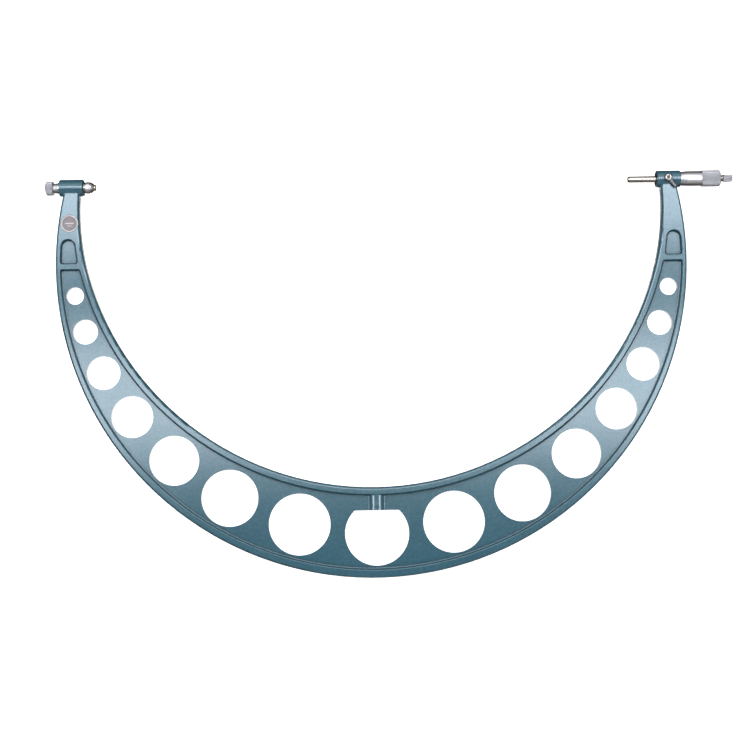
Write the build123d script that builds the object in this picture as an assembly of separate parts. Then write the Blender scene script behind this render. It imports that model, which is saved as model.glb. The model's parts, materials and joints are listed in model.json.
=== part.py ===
from build123d import *
from math import cos, radians, sin
import os

# An outside micrometer for 600 to 700 mm with interchangeable anvils, fitted with the shortest
# anvil and closed to its zero reading of 675 mm.  Millimetres.  The origin is the centre of the
# anvil's measuring face, +X runs along the measuring axis towards the spindle, the frame's arc
# hangs towards -Y, and +Z is the normal of the frame's flat faces.

# ---- measuring axis ----
opening = 675.0            # between the measuring faces at the zero reading
travel = 25.0              # of the spindle
fit_gap = 0.05             # radial running clearance
face_gap = 0.05            # axial clearance between pieces that move apart
centre_x = opening / 2 + 10.4   # the frame's plane of symmetry

# ---- frame casting ----
rim_half = 7.75            # half the thickness of the rims
web_half = 2.75            # half the thickness of the web between the rims
outer_arc_y = -98.6        # centre and radius of the outer edge
outer_arc_r = 397.8
inner_arc_y = -13.2        # centre and radius of the inner edge
inner_arc_r = 370.6
pocket_outer_y = -93.8     # centre and radius of the recess wall along the outer rim
pocket_outer_r = 392.6
pocket_inner_y = -14.6     # centre and radius of the recess wall along the inner rim
pocket_inner_r = 378.2
arm_straight_y = -110.0    # above this the arm's inner edge leaves the inner arc
arm_inner_x = 367.0        # the inner edge's distance from the middle at the boss
pocket_top_y = -104.3
window_top_y = -66.2       # the small recess near the top of each arm
window_bottom_y = -97.7
window_mid_x = 382.0
window_radius = 9.3
window_outer_foot = 392.4
window_inner_foot = 369.8
pocket_corner = 3.2
wall_draft = 12            # degrees, of the recess walls
wall_foot_round = 1.4
inner_edge_round = 3.4
outer_edge_round = 2.4
rim_edge_round = 0.8

# ---- holes in the web ----
hole_arc_y = -58.7
hole_arc_r = 382.4
hole_angles = (14.6, 28.6, 41.2, 52.6, 62.5, 71.0, 78.1)     # from straight down
hole_radii = (38.5, 35.5, 31.1, 26.2, 21.1, 15.6, 10.9)
d_hole_y = -441.6
d_hole_r = 40.0
d_flat_y = -412.7
d_corner = 2.6
lug_half_width = 9.8
lug_half_height = 7.5
lug_foot_round = 1.8

# ---- bosses ----
boss_r = 10.65
boss_inner = 363.0         # from the middle to the boss's inner end
boss_outer = 393.2
boss_edge = 0.8
boss_root_round = 2.5
badge_x = 380.0
badge_y = -46.4
badge_r = 10.8
badge_recess_r = 11.2
badge_recess = 0.9
badge_height = 1.2
badge_rim = 1.7
badge_field = 0.4          # depth of the field inside the rim
badge_bar = (11.0, 1.8, 0.3)

# ---- anvil ----
tip_r = 3.9
tip_length = 1.6
anvil_head_x = -6.4        # back of the anvil's cone
anvil_head_r = 7.0
anvil_shank_r = 5.5
adjusting_nut_x = -12.5
adjusting_nut_r = 7.4
lock_ring_r = 6.9
anvil_thread_r = 4.0
anvil_thread_end = -58.5
washer_r = 7.0
washer_thick = 2.4
nut_neck_r = 5.9
nut_neck_flare = 6.4
nut_neck_length = 5.1
nut_knurl_r = 8.85
nut_knurl_length = 9.6
nut_knurl_teeth = 48

# ---- spindle and its guide ----
spindle_r = 4.0
spindle_thread_r = 3.68
tail_r = 3.0
tail_start = 788.4
tail_end = 791.0
tail_hole_r = 1.5
tail_hole_depth = 7.5
boss_bore_r = 6.0
boss_counterbore_r = 6.3
boss_counterbore = 1.5
bush_length = 8.1

# ---- sleeves and play adjustment ----
inner_sleeve_start = 730.5
inner_sleeve_r = 7.2
inner_sleeve_end = 784.0
sleeve_thread_x = 767.6     # the nut thread starts here
sleeve_cone_x = 774.0
sleeve_cone_r = 6.6
spindle_thread_x = sleeve_thread_x - travel - 0.6
sleeve_slot = 0.8
outer_sleeve_r = 8.6
outer_sleeve_end = 773.0
taper_nut_r = 7.8
taper_nut_x = (775.0, 781.0)
taper_nut_slot = (3.0, 1.6)

# ---- thimble ----
thimble_front = 742.6
thimble_bore = 8.675
thimble_lip_r = 8.95
thimble_bevel_x = 750.5
thimble_r = 9.6
thimble_knurl_x = 768.0
thimble_knurl_r = 10.3
thimble_knurl_teeth = 80
thimble_wall_x = 788.5
thimble_end = 792.0

# ---- ratchet ----
flange_r = 3.85
flange_end = 796.0
tooth_count = 12
tooth_depth = 0.5
post_r = 2.3
post_end = 804.6
post_hole_r = 1.2
post_hole_depth = 5.0
knob_start = 796.3
knob_end = 807.8
knob_r = 4.65
knob_teeth = 40
knob_counterbore_x = 804.4
knob_counterbore_r = 3.3
screw_head_r = 3.0
screw_head = 1.8
screw_slot = (1.4, 0.7)
pawl_offset = 3.4
pawl_hole_r = 0.72
pawl_r = 0.64
pawl_end = 799.4
pawl_hole_end = 802.5
spring_wire_r = 0.12
spring_r = 0.45
spring_turns = 5

# ---- spindle clamp ----
clamp_x = 724.2
clamp_stud_r = 2.5
clamp_stud_z = 5.6
clamp_stud_bore_r = 1.2
lever_z = 11.1
lever_thick = 3.3
lever_ring_r = 4.85
lever_cap = 1.8            # thickness of the lever above the stud
lever_eye_r = 1.65
lever_angle = -52.0        # degrees from +X, with the clamp released
lever_reach = 15.8
lever_root_half = 2.3
lever_tip_half = 1.6
lever_tip_z = 0.9          # how far the top falls towards the tip
lever_ridge_half = 1.1     # half the width of the flat along the arm's top
lever_flank = 40           # degrees, of the arm's sloping flanks
clamp_pad_r = 2.4
clamp_pad_z = 5.5


def rod(x0, x1, radius):
    """A cylinder along the measuring axis."""
    return Pos(x0, 0, 0) * Rot(0, 90, 0) * Cylinder(
        radius, x1 - x0, align=(Align.CENTER, Align.CENTER, Align.MIN))


def turned(*points):
    """A solid of revolution about the measuring axis from (x, radius) points."""
    return revolve(make_face(Polyline(*points, close=True)), axis=Axis.X)


def upright(x, y, z0, z1, radius):
    """A cylinder along Z."""
    return Pos(x, y, z0) * Cylinder(
        radius, z1 - z0, align=(Align.CENTER, Align.CENTER, Align.MIN))


def knurled(x0, x1, radius, teeth, depth, end_chamfer):
    """A straight-knurled cylinder along X with chamfered ends."""
    points = []
    for i in range(2 * teeth):
        reach = radius if i % 2 else radius - depth
        angle = radians(180 * i / teeth)
        points.append((reach * cos(angle), reach * sin(angle)))
    star = make_face(Polyline(*points, close=True))
    bar = Pos(x0, 0, 0) * Rot(0, 90, 0) * extrude(star, x1 - x0)
    inside = radius - end_chamfer
    envelope = turned((x0, 0), (x0, inside), (x0 + end_chamfer, radius + 0.01),
                      (x1 - end_chamfer, radius + 0.01), (x1, inside), (x1, 0))
    return bar & envelope


def circle_point(centre_y, radius, degrees_from_down, side=1):
    angle = radians(degrees_from_down)
    return side * radius * sin(angle), centre_y - radius * cos(angle)


def on_circle_x(centre_y, radius, y):
    """Half the width of a circle at height y."""
    return (radius ** 2 - (y - centre_y) ** 2) ** 0.5


# ---------------------------------------------------------------- frame ----

def frame_outline():
    """The crescent's outline about x = 0, open at the bosses."""
    top_y = -2.0
    outer_x = on_circle_x(outer_arc_y, outer_arc_r, top_y)
    inner_x = on_circle_x(inner_arc_y, inner_arc_r, arm_straight_y)
    inner_bottom = (0, inner_arc_y - inner_arc_r)
    outer_bottom = (0, outer_arc_y - outer_arc_r)
    inner = ThreePointArc((-inner_x, arm_straight_y), inner_bottom, (inner_x, arm_straight_y))
    right = TangentArc((inner_x, arm_straight_y), (arm_inner_x, top_y), tangent=inner % 1)
    left = mirror(right, Plane.YZ)
    outer = ThreePointArc((-outer_x, top_y), outer_bottom, (outer_x, top_y))
    right_top = Line((arm_inner_x, top_y), (outer_x, top_y))
    left_top = Line((-outer_x, top_y), (-arm_inner_x, top_y))
    return make_face([inner, right, right_top, outer, left_top, left])


def half_disc(centre_y, radius, top_y):
    disc = Pos(0, centre_y) * Circle(radius)
    cut = Pos(0, top_y) * Rectangle(4 * radius, 4 * radius, align=(Align.CENTER, Align.MIN))
    return disc - cut


def pocket_face():
    face = half_disc(pocket_outer_y, pocket_outer_r, pocket_top_y)
    face -= Pos(0, pocket_inner_y) * Circle(pocket_inner_r)
    return fillet(face.vertices(), pocket_corner)


def window_face(side):
    """The small round-topped recess near the top of an arm."""
    crown_y = window_top_y - window_radius
    shape = make_face(Polyline(
        (window_mid_x - window_radius, crown_y), (window_mid_x + window_radius, crown_y),
        (window_outer_foot, window_bottom_y), (window_inner_foot, window_bottom_y), close=True))
    shape = fillet(shape.vertices().sort_by(Axis.Y)[:2], pocket_corner)
    shape += Pos(window_mid_x, crown_y) * Circle(window_radius)
    return mirror(shape, Plane.YZ) if side < 0 else shape


def recess(face):
    """A drafted recess in the top face and the same one in the underside."""
    depth = rim_half - web_half
    top = extrude(Pos(0, 0, rim_half) * face, -depth, taper=wall_draft)
    return top + mirror(top, Plane.XY)


def lug():
    """The oval lug between the inner rim and the flat of the D-shaped hole."""
    top_y = pocket_inner_y - pocket_inner_r + 2
    oval = Rot(-90, 0, 0) * Ellipse(lug_half_width, lug_half_height)
    return Pos(0, d_flat_y, 0) * extrude(oval, top_y - d_flat_y)


def web_holes():
    cuts = []
    for angle, radius in zip(hole_angles, hole_radii):
        for side in (-1, 1):
            x, y = circle_point(hole_arc_y, hole_arc_r, angle, side)
            cuts.append(upright(x, y, -rim_half, rim_half, radius))
    d_face = half_disc(d_hole_y, d_hole_r, d_flat_y)
    d_face = fillet(d_face.vertices(), d_corner)
    cuts.append(extrude(Pos(0, 0, -2 * rim_half) * d_face, 4 * rim_half))
    return cuts


def boss(side):
    """One boss, a turned barrel with broken edges."""
    ends = (boss_inner, boss_inner + boss_edge, boss_outer - boss_edge, boss_outer)
    radii = (boss_r - boss_edge, boss_r, boss_r, boss_r - boss_edge)
    points = [(side * x, r) for x, r in zip(ends, radii)]
    return turned((side * boss_inner, 0), *points, (side * boss_outer, 0))


def long_edges(plate):
    """The long curved edges of the plate, as those of its outer and of its inner side."""
    curved = [e for e in plate.edges().filter_by(GeomType.CIRCLE) if e.length > 50]
    outer = [e for e in curved if abs(e.radius - outer_arc_r) < 1]
    inner = [e for e in curved if abs(e.radius - outer_arc_r) >= 1]
    return outer, inner


def flat_faces(plate, height):
    """The flat faces square to Z at this distance from the middle plane."""
    flats = plate.faces().filter_by(GeomType.PLANE)
    level = [f for f in flats if abs(abs(f.center().Z) - height) < 0.01]
    return [f for f in level if abs(f.normal_at().Z) > 0.99]


def lug_feet(plate):
    """The straight edges where the lug meets the web."""
    found = []
    for edge in plate.edges():
        middle = edge.center()
        along_lug = abs((edge @ 0).X - (edge @ 1).X) < 1 and edge.length > 5
        near_lug = abs(middle.X) < lug_half_width + 1 and middle.Y > d_flat_y - 1
        if along_lug and near_lug and abs(abs(middle.Z) - web_half) < 0.3:
            found.append(edge)
    return found


def boss_roots(plate):
    """The edges where the arms run into the bosses' barrels."""
    found = []
    for edge in plate.edges():
        points = [edge @ t for t in (0, 0.25, 0.5, 0.75, 1)]
        on_barrel = all(abs((p.Y ** 2 + p.Z ** 2) ** 0.5 - boss_r) < 0.05 for p in points)
        below = all(p.Y < -1 for p in points)
        across = all(abs(p.X - points[0].X) < 0.001 for p in points)
        if on_barrel and below and not across:
            found.append(edge)
    return found


def casting():
    """The unmachined casting about x = 0: rims, web, lug, holes and bosses."""
    plate = extrude(Pos(0, 0, -rim_half) * frame_outline(), 2 * rim_half)
    plate = fillet(long_edges(plate)[1], inner_edge_round)
    outer = [e for e in long_edges(plate)[0] if abs(abs(e.center().Z) - rim_half) < 0.01]
    plate = fillet(outer, outer_edge_round)
    plate -= recess(pocket_face())
    for side in (-1, 1):
        plate -= recess(window_face(side))
    rims = [e for f in flat_faces(plate, rim_half) for w in f.inner_wires() for e in w.edges()]
    plate = fillet(rims, rim_edge_round)
    feet = [e for f in flat_faces(plate, web_half) for e in f.outer_wire().edges()]
    plate = fillet(feet, wall_foot_round)
    plate += lug()
    for cut in web_holes():
        plate -= cut
    plate = fillet(lug_feet(plate), lug_foot_round)
    for side in (-1, 1):
        plate += boss(side)
    return fillet(boss_roots(plate), boss_root_round)


def frame():
    """The casting with its bores, its face for the badge and the clamp's hole."""
    body = casting()
    body -= upright(-badge_x, badge_y, rim_half - badge_recess, rim_half + 1, badge_recess_r)
    body = Pos(centre_x, 0, 0) * body
    left_in = centre_x - boss_inner
    left_out = centre_x - boss_outer
    right_in = centre_x + boss_inner
    right_out = centre_x + boss_outer
    body -= rod(left_out - 1, left_in + 1, anvil_shank_r + fit_gap)
    body -= rod(right_in - 1, right_out + 1, boss_bore_r)
    body -= rod(right_in - 1, right_in + boss_counterbore, boss_counterbore_r)
    return body - upright(clamp_x, 0, 0, boss_r + 1, clamp_stud_r + fit_gap)


def badge():
    """The round nameplate in the left arm: a disc with a raised rim and a plain bar."""
    z0 = rim_half - badge_recess
    z1 = z0 + badge_height
    disc = upright(0, 0, z0, z1, badge_r)
    field = upright(0, 0, z1 - badge_field, z1 + 1, badge_r - badge_rim)
    bar = Pos(0, 0, z1 - badge_field + badge_bar[2] / 2) * Box(*badge_bar)
    disc = chamfer(disc.edges().group_by(Axis.Z)[-1], 0.3) - field + bar
    return Pos(centre_x - badge_x, badge_y, 0) * disc


# ---------------------------------------------------------------- anvil ----

def anvil():
    """The interchangeable anvil: cone, shank and threaded tail."""
    thread_start = centre_x - boss_outer - washer_thick
    return turned(
        (-tip_length, 0), (-tip_length, tip_r + 0.1), (anvil_head_x + 1.0, anvil_head_r),
        (anvil_head_x, anvil_head_r), (anvil_head_x, anvil_shank_r), (thread_start, anvil_shank_r),
        (thread_start, anvil_thread_r), (anvil_thread_end + 0.6, anvil_thread_r),
        (anvil_thread_end, anvil_thread_r - 0.6), (anvil_thread_end, 0))


def anvil_tip():
    """The carbide measuring face of the anvil."""
    return turned((0, 0), (0, tip_r - 0.15), (-0.15, tip_r), (-tip_length, tip_r), (-tip_length, 0))


def anvil_adjusting_nut():
    edge = 0.6
    x0, x1 = adjusting_nut_x, anvil_head_x
    return turned(
        (x0, anvil_shank_r), (x0, adjusting_nut_r - edge), (x0 + edge, adjusting_nut_r),
        (x1 - edge, adjusting_nut_r), (x1, adjusting_nut_r - edge), (x1, anvil_shank_r))


def anvil_lock_ring():
    edge = 0.4
    x0, x1 = centre_x - boss_inner + face_gap, adjusting_nut_x
    return turned(
        (x0, anvil_shank_r), (x0, lock_ring_r - edge), (x0 + edge, lock_ring_r),
        (x1 - edge, lock_ring_r), (x1, lock_ring_r - edge), (x1, anvil_shank_r))


def washer_span():
    x1 = centre_x - boss_outer - face_gap
    return x1 - washer_thick, x1


def anvil_washer():
    """The dished washer between the boss and the clamp nut."""
    x0, x1 = washer_span()
    bore = anvil_shank_r + 2 * fit_gap
    return turned((x0, bore), (x0, washer_r - 0.5), (x0 + 0.5, washer_r), (x1, washer_r), (x1, bore))


def anvil_clamp_nut():
    """The knurled nut that pulls the anvil home: a flared neck and a knurled head, blind."""
    x1 = washer_span()[0] - face_gap
    head_x1 = x1 - nut_neck_length
    head_x0 = head_x1 - nut_knurl_length
    neck = turned((head_x1, 0), (head_x1, nut_neck_r), (x1, nut_neck_flare), (x1, 0))
    head = knurled(head_x0, head_x1, nut_knurl_r, nut_knurl_teeth, 0.4, 1.3)
    bore = rod(anvil_thread_end - 0.5, x1 + 1, anvil_thread_r + fit_gap)
    return neck + head - bore


# -------------------------------------------------------------- spindle ----

def spindle():
    """The measuring spindle: ground front, screw, and tail for the thimble."""
    front = opening + tip_length
    body = turned(
        (front, 0), (front, spindle_r - 0.1), (front + 0.1, spindle_r), (spindle_thread_x, spindle_r),
        (spindle_thread_x, spindle_thread_r), (tail_start, spindle_thread_r), (tail_start, tail_r),
        (tail_end, tail_r), (tail_end, 0))
    return body - rod(tail_end - tail_hole_depth, tail_end + 1, tail_hole_r)


def spindle_tip():
    """The carbide measuring face of the spindle."""
    x0, x1 = opening, opening + tip_length
    return turned((x0, 0), (x0, tip_r - 0.15), (x0 + 0.15, tip_r), (x1, tip_r), (x1, 0))


def spindle_bush():
    """The guide bush pressed into the front of the spindle boss."""
    x0 = centre_x + boss_inner + boss_counterbore
    x1 = x0 + bush_length
    bore = spindle_r + 0.8 * fit_gap
    return turned((x0, bore + 0.5), (x0, boss_bore_r), (x1, boss_bore_r), (x1, bore), (x0 + 0.5, bore))


def inner_sleeve():
    """The fixed sleeve pressed into the boss: guide bore in front, nut thread behind, slit end."""
    boss_face = centre_x + boss_outer
    guide = spindle_r + 0.8 * fit_gap
    nut = spindle_thread_r + 0.8 * fit_gap
    body = turned(
        (inner_sleeve_start, guide), (inner_sleeve_start, boss_bore_r), (boss_face, boss_bore_r),
        (boss_face, inner_sleeve_r), (sleeve_cone_x, inner_sleeve_r), (sleeve_cone_x, sleeve_cone_r),
        (inner_sleeve_end, sleeve_cone_r - 0.3), (inner_sleeve_end, nut), (sleeve_thread_x, nut),
        (sleeve_thread_x, guide))
    length = inner_sleeve_end - sleeve_thread_x
    for angle in (0, 90):
        slit = Pos(sleeve_thread_x + 2, 0, 0) * Rot(angle, 0, 0) * Box(
            length, sleeve_slot, 3 * inner_sleeve_r, align=(Align.MIN, Align.CENTER, Align.CENTER))
        body -= slit
    return body


def outer_sleeve():
    """The graduated sleeve that slides over the fixed one."""
    x0 = centre_x + boss_outer
    return turned(
        (x0, inner_sleeve_r), (x0, outer_sleeve_r), (outer_sleeve_end - 0.3, outer_sleeve_r),
        (outer_sleeve_end, outer_sleeve_r - 0.3), (outer_sleeve_end, inner_sleeve_r))


def taper_nut():
    """The slotted nut that closes the slit end to take up play."""
    x0, x1 = taper_nut_x
    nut = turned((x0, sleeve_cone_r), (x0, taper_nut_r), (x1, taper_nut_r), (x1, sleeve_cone_r))
    slot = Pos(x1, 0, 0) * Box(*taper_nut_slot, 3 * taper_nut_r)
    return nut - slot


# -------------------------------------------------------------- thimble ----

def thimble():
    """The thimble: graduated bevel, plain barrel, knurled grip and end wall."""
    tail_bore = tail_r + fit_gap
    shell = turned(
        (thimble_front, thimble_bore), (thimble_front, thimble_lip_r), (thimble_bevel_x, thimble_r),
        (thimble_knurl_x + 1, thimble_r), (thimble_knurl_x + 1, thimble_bore))
    grip = knurled(thimble_knurl_x, thimble_end, thimble_knurl_r, thimble_knurl_teeth, 0.3, 0.9)
    grip -= rod(thimble_knurl_x - 1, thimble_wall_x, thimble_bore)
    grip -= rod(thimble_wall_x - 1, thimble_end + 1, tail_bore)
    return shell + grip


def ratchet_body():
    """The toothed half of the ratchet, screwed into the spindle's tail."""
    stub_r = tail_hole_r - fit_gap
    stub_x = tail_end - tail_hole_depth + 1
    body = turned(
        (stub_x, 0), (stub_x, stub_r), (thimble_end, stub_r), (thimble_end, flange_r),
        (flange_end, flange_r), (flange_end, post_r), (post_end, post_r), (post_end, 0))
    body -= rod(post_end - post_hole_depth, post_end + 1, post_hole_r)
    for i in range(tooth_count):
        notch = make_face(Polyline(
            (flange_end + 0.01, -tooth_depth), (flange_end + 0.01, tooth_depth),
            (flange_end - tooth_depth, 0), close=True))
        groove = extrude(Pos(0, 0, post_r) * notch, flange_r)
        body -= Rot(360 * i / tooth_count, 0, 0) * groove
    return body


def ratchet_knob():
    """The knurled ratchet knob that slips when the measuring force is reached."""
    grip = knurled(knob_start, knob_end, knob_r, knob_teeth, 0.25, 0.5)
    grip -= rod(knob_start - 1, knob_end, post_r + 1.6 * fit_gap)
    grip -= rod(knob_counterbore_x, knob_end + 1, knob_counterbore_r)
    return grip - Pos(0, 0, pawl_offset) * rod(knob_start - 1, pawl_hole_end, pawl_hole_r)


def ratchet_pawl():
    """The spring-loaded pin that drops into the ratchet's teeth."""
    tip_x = flange_end - tooth_depth + 0.15
    pin = turned((tip_x, 0), (tip_x + pawl_r, pawl_r), (pawl_end, pawl_r), (pawl_end, 0))
    return Pos(0, 0, pawl_offset) * pin


def ratchet_spring():
    """The coil spring behind the pawl."""
    x0 = pawl_end + spring_wire_r
    length = pawl_hole_end - pawl_end - 2 * spring_wire_r
    coil = Helix(pitch=length / spring_turns, height=length, radius=spring_r)
    section = Plane(origin=coil @ 0, z_dir=coil % 0) * Circle(spring_wire_r)
    wire = sweep(section, path=coil)
    return Pos(x0, 0, pawl_offset) * Rot(0, 90, 0) * wire


def ratchet_screw():
    """The slotted screw that keeps the knob on its post."""
    x0 = post_end
    x1 = post_end + screw_head
    screw = turned(
        (x0 - post_hole_depth + 0.6, 0), (x0 - post_hole_depth + 0.6, post_hole_r), (x0, post_hole_r),
        (x0, screw_head_r), (x1 - 0.4, screw_head_r), (x1, screw_head_r - 0.4), (x1, 0))
    return screw - Pos(x1, 0, 0) * Box(*screw_slot, 3 * screw_head_r)


# ---------------------------------------------------------------- clamp ----

def clamp_screw():
    """The stud that the lever turns; it presses the pad onto the spindle."""
    stud = upright(clamp_x, 0, clamp_stud_z, lever_z + lever_thick - lever_cap, clamp_stud_r)
    return stud - upright(clamp_x, 0, clamp_stud_z + 1.2, lever_z + lever_thick, clamp_stud_bore_r)


def clamp_pad():
    """The brass pad under the stud, hollowed to the spindle's curve."""
    blank = upright(clamp_x, 0, 3.0, clamp_pad_z, clamp_pad_r)
    return blank - rod(clamp_x - 5, clamp_x + 5, spindle_r + 1.6 * fit_gap)


def clamp_lever():
    """The lever: a ring over the stud and a tapering arm with a ridge."""
    top = lever_z + lever_thick
    ring = upright(0, 0, lever_z, top, lever_ring_r)
    ring = chamfer(ring.edges().group_by(Axis.Z)[-1], 0.9)
    reach = lever_reach - lever_tip_half
    plan = make_face(Polyline(
        (0, -lever_root_half), (reach, -lever_tip_half), (reach, lever_tip_half),
        (0, lever_root_half), close=True))
    plan += Pos(reach, 0) * Circle(lever_tip_half)
    arm = extrude(Pos(0, 0, lever_z) * plan, lever_thick)
    side = make_face(Polyline(
        (0, lever_z), (lever_reach + 1, lever_z), (lever_reach + 1, top - lever_tip_z - 1.2),
        (lever_reach - 3, top - lever_tip_z), (0, top - 0.3), close=True))
    arm &= extrude(Pos(0, 3, 0) * Rot(90, 0, 0) * side, 6)
    for flank in (-1, 1):
        outward = Align.MIN if flank > 0 else Align.MAX
        cutter = Box(3 * lever_reach, 6, 4, align=(Align.CENTER, outward, Align.MIN))
        arm -= Pos(0, flank * lever_ridge_half, top - 0.3) * Rot(-lever_flank * flank, 0, 0) * cutter
    lever = ring + arm
    lever -= upright(0, 0, lever_z - 1, top - lever_cap, clamp_stud_r)
    lever -= upright(0, 0, lever_z - 1, top + 1, lever_eye_r)
    return Pos(clamp_x, 0, 0) * Rot(0, 0, lever_angle) * lever


def clamp_lever_screw():
    """The small brass screw in the lever's eye, with a hexagon socket."""
    top = lever_z + lever_thick
    seat = top - lever_cap
    head = upright(clamp_x, 0, seat, top - 0.8, lever_eye_r - 0.05)
    shank = upright(clamp_x, 0, clamp_stud_z + 1.6, seat, clamp_stud_bore_r - fit_gap)
    socket = extrude(Pos(clamp_x, 0, top - 1.5) * RegularPolygon(0.85, 6), 2)
    return shank + head - socket


PIECES = (
    frame, badge, anvil, anvil_tip, anvil_adjusting_nut, anvil_lock_ring, anvil_washer,
    anvil_clamp_nut, spindle, spindle_tip, spindle_bush, inner_sleeve, outer_sleeve, taper_nut,
    thimble, ratchet_body, ratchet_knob, ratchet_pawl, ratchet_spring, ratchet_screw,
    clamp_screw, clamp_pad, clamp_lever, clamp_lever_screw)

os.makedirs("parts", exist_ok=True)
for piece in PIECES:
    export_step(piece(), f"parts/{piece.__name__}.step")
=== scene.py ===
import bmesh
import bpy
import json
import math
from mathutils import Matrix, Vector

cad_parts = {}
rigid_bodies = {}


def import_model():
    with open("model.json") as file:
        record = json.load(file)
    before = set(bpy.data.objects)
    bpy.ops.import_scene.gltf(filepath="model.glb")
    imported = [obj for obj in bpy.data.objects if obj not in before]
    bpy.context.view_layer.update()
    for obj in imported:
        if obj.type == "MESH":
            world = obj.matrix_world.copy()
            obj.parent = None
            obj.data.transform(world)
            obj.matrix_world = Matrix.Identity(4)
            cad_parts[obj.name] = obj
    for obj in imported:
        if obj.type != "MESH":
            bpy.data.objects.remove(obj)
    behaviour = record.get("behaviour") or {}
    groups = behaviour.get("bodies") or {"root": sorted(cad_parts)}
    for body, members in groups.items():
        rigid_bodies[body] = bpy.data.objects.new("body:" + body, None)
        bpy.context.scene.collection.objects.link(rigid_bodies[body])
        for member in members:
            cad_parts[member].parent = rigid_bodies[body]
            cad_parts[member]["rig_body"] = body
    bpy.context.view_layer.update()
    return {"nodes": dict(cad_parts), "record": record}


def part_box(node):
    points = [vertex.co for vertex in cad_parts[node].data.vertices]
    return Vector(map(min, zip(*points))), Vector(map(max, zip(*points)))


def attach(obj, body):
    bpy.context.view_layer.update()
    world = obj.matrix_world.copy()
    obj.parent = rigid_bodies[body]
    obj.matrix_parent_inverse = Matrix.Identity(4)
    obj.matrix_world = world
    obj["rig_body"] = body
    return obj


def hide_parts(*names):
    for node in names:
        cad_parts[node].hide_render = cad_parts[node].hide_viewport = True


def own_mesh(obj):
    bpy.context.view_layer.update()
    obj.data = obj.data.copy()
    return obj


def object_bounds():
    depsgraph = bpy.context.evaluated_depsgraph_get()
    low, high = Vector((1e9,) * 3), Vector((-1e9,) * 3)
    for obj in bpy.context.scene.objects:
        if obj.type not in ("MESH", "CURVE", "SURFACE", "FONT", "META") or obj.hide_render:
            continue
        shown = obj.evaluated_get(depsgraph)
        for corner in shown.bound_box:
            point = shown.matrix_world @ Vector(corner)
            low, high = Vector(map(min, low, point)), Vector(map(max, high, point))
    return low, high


# The looks of the outside micrometer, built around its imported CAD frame.
# The measuring axis is X, and +Z is the side that carries the clamp lever and the badge.
# Shapes are in millimetres, and most are (x, radius) outlines turned about the measuring axis.
# The camera, the lights and the distances inside materials are in metres.

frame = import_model()
MM = 0.001
SMOOTH_ANGLE = math.radians(38)
KNURL_ANGLE = math.radians(50)
ON_AXIS = 1e-6
slot_of = {part["node"]: part["material_slot"] for part in frame["record"]["subparts"]}


def span(node):
    """(first x, last x, radius) in mm of a CAD node turned about the measuring axis."""
    low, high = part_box(node)
    return low.x / MM, high.x / MM, max(high.y, -low.y) / MM


# ------------------------------------------------------------------ meshes ----

def rounded(points, radius, steps=4):
    """A closed outline with its corners rounded, apart from those on the axis."""
    result = []
    count = len(points)
    straight = math.radians(176)
    most_of_side = 0.45
    for i, (x, r) in enumerate(points):
        here = Vector((x, r))
        before = Vector(points[i - 1]) - here
        after = Vector(points[(i + 1) % count]) - here
        shortest = min(before.length, after.length)
        if r < ON_AXIS or shortest < ON_AXIS or before.angle(after) > straight:
            result.append((x, r))
            continue
        angle = before.angle(after)
        reach = min(radius / math.tan(angle / 2), most_of_side * shortest)
        first = here + before.normalized() * reach
        last = here + after.normalized() * reach
        for step in range(steps + 1):
            t = step / steps
            point = first * (1 - t) ** 2 + here * (2 * t * (1 - t)) + last * t ** 2
            result.append((point.x, max(point.y, 0.0)))
    return result


def add_object(name, bm, smooth_angle=SMOOTH_ANGLE):
    """Turns a bmesh in mm into a linked object in metres, smooth but for its sharp edges."""
    bmesh.ops.remove_doubles(bm, verts=bm.verts, dist=1e-4)
    bmesh.ops.recalc_face_normals(bm, faces=bm.faces)
    for face in bm.faces:
        face.smooth = True
    mesh = bpy.data.meshes.new(name)
    bm.to_mesh(mesh)
    bm.free()
    mesh.transform(Matrix.Scale(MM, 4))
    mesh.set_sharp_from_angle(angle=smooth_angle)
    piece = bpy.data.objects.new(name, mesh)
    bpy.context.scene.collection.objects.link(piece)
    return piece


def lathe(outline, sides=144, shape=None):
    """A bmesh turned about X from a closed (x, radius) outline; shape(x, r, angle) may change r."""
    bm = bmesh.new()
    rings = []
    for x, r in outline:
        if r < ON_AXIS:
            rings.append([bm.verts.new((x, 0, 0))])
            continue
        ring = []
        for i in range(sides):
            angle = 2 * math.pi * i / sides
            reach = shape(x, r, angle) if shape else r
            ring.append(bm.verts.new((x, reach * math.cos(angle), reach * math.sin(angle))))
        rings.append(ring)
    for a, b in zip(rings, rings[1:] + rings[:1]):
        for i in range(sides):
            j = (i + 1) % sides
            corners = []
            for ring, k in ((a, i), (a, j), (b, j), (b, i)):
                vert = ring[k % len(ring)]
                if vert not in corners:
                    corners.append(vert)
            if len(corners) > 2:
                bm.faces.new(corners)
    return bm


def facing_up(bm):
    """Turns what was lathed about X so that it stands on Z, with its x along +Z."""
    for v in bm.verts:
        v.co = Vector((v.co.y, v.co.z, v.co.x))


def knurl(root, teeth, depth):
    """A straight knurl with flattened crests on all that stands above the root radius."""
    steepness = 1.5

    def shape(x, r, angle):
        if r <= root:
            return r
        wave = abs((angle * teeth / (2 * math.pi)) % 1 * 2 - 1)
        return min(r, root + depth * min(1.0, steepness * wave))
    return shape


def threads(x0, x1, crest, depth, pitch):
    """The zigzag of a thread's rings from x0 to x1."""
    points = []
    root = crest - depth
    flat, slope_end, root_end = 0.15, 0.5, 0.65
    turns = int(abs(x1 - x0) / pitch)
    step = pitch if x1 > x0 else -pitch
    for i in range(turns):
        x = x0 + i * step
        points += [(x, crest), (x + flat * step, crest), (x + slope_end * step, root),
                   (x + root_end * step, root)]
    return points


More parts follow.
